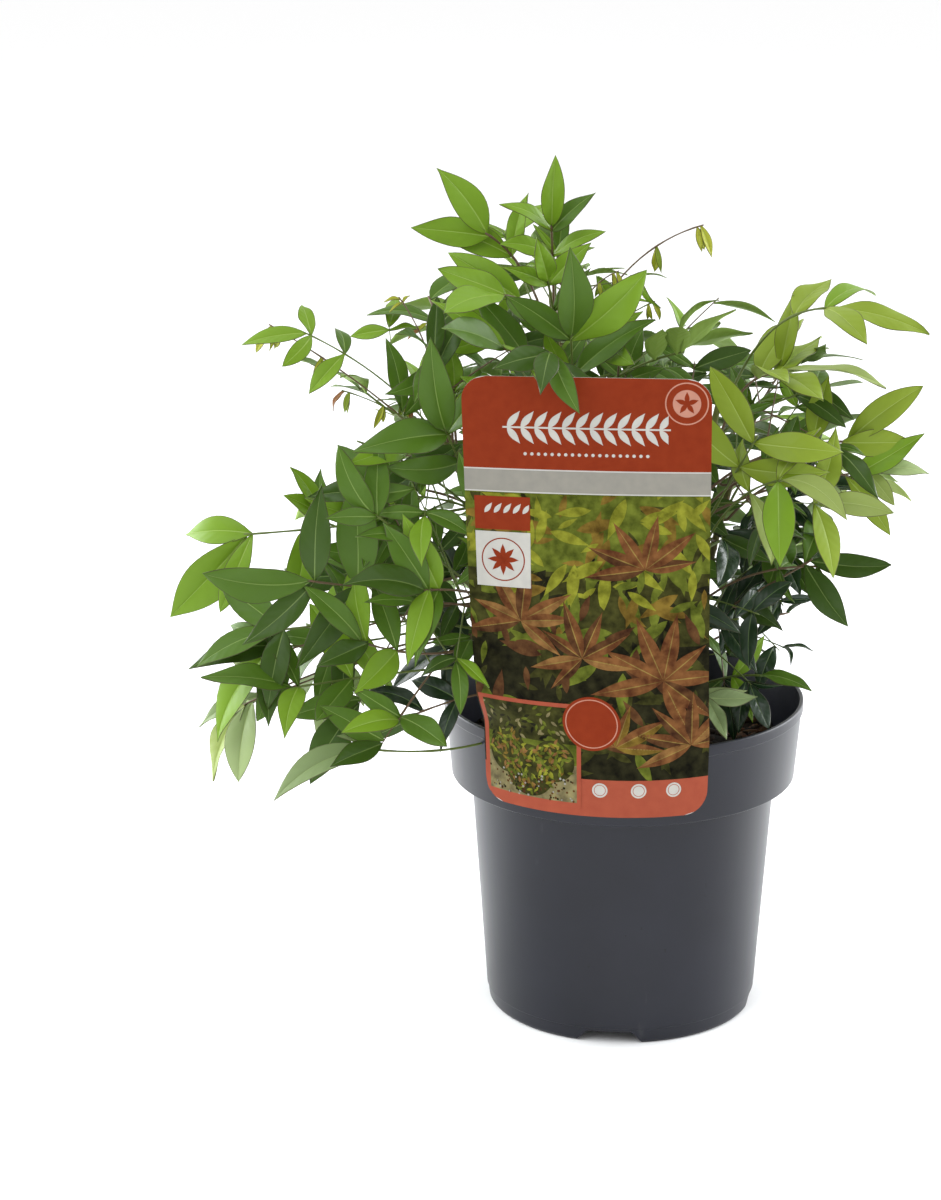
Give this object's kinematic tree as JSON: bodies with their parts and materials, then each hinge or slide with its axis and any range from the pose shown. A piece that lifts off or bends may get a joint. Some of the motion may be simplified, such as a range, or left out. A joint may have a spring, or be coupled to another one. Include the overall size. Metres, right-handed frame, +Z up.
{
  "type": "heavenly bamboo shrub in a nursery pot",
  "caption": "Young heavenly bamboo in a round nursery pot: upright canes, divided evergreen leaves in layers, young hanging shoots and a tall picture card hooked over the rim.",
  "frame": {"origin": "middle of the pot's flat underside, on the surface that it stands on", "axes": "+Z up; the plant's front, with the card, faces -Y; +X is to the right of someone looking at the front"},
  "size_m": [0.3498, 0.2744, 0.4047],
  "materials": {
    "pot": "satin dark blue-grey moulded plastic",
    "soil": "moist dark potting mix with bark crumbs",
    "card": "printed plastic sheet, half gloss",
    "cane": "smooth olive to brown stem with nodes",
    "leaf": "smooth half-gloss leaf with a pale underside",
    "shoot": "soft young yellow-green leaf"
  },
  "bodies": {
    "root": {"cane_back": "cane", "cane_back_left": "cane", "cane_back_right": "cane", "cane_left": "cane", "cane_low_left": "cane", "cane_middle": "cane", "cane_right": "cane", "leaf_back": "leaf", "leaf_back_left": "leaf", "leaf_back_left_high": "leaf", "leaf_back_left_low": "leaf", "leaf_back_low": "leaf", "leaf_back_lower_right": "leaf", "leaf_back_right": "leaf", "leaf_back_right_high": "leaf", "leaf_back_right_low": "leaf", "leaf_back_upper": "leaf", "leaf_broad": "leaf", "leaf_far_left": "leaf", "leaf_hanging": "leaf", "leaf_high_back": "leaf", "leaf_high_back_left": "leaf", "leaf_high_front": "leaf", "leaf_high_left": "leaf", "leaf_high_right": "leaf", "leaf_high_side": "leaf", "leaf_left": "leaf", "leaf_left_front": "leaf", "leaf_left_inner": "leaf", "leaf_left_middle": "leaf", "leaf_left_outer": "leaf", "leaf_left_upright": "leaf", "leaf_low_front": "leaf", "leaf_low_left_far": "leaf", "leaf_over_card": "leaf", "leaf_right_end": "leaf", "leaf_right_far": "leaf", "leaf_right_front": "leaf", "leaf_right_high": "leaf", "leaf_right_inner": "leaf", "leaf_right_inner_low": "leaf", "leaf_right_long": "leaf", "leaf_right_low": "leaf", "leaf_right_lower": "leaf", "leaf_right_upright": "leaf", "leaf_rim_front": "leaf", "leaf_rim_left": "leaf", "leaf_rim_right": "leaf", "leaf_top": "leaf", "leaf_top_front": "leaf", "leaf_top_left": "leaf", "leaf_upper_left": "leaf", "leaf_upright": "leaf", "plant_card": "card", "pot": "pot", "shoot_left_long": "shoot", "shoot_left_short": "shoot", "shoot_top_right": "shoot", "soil": "soil"}
  },
  "joints": []
}
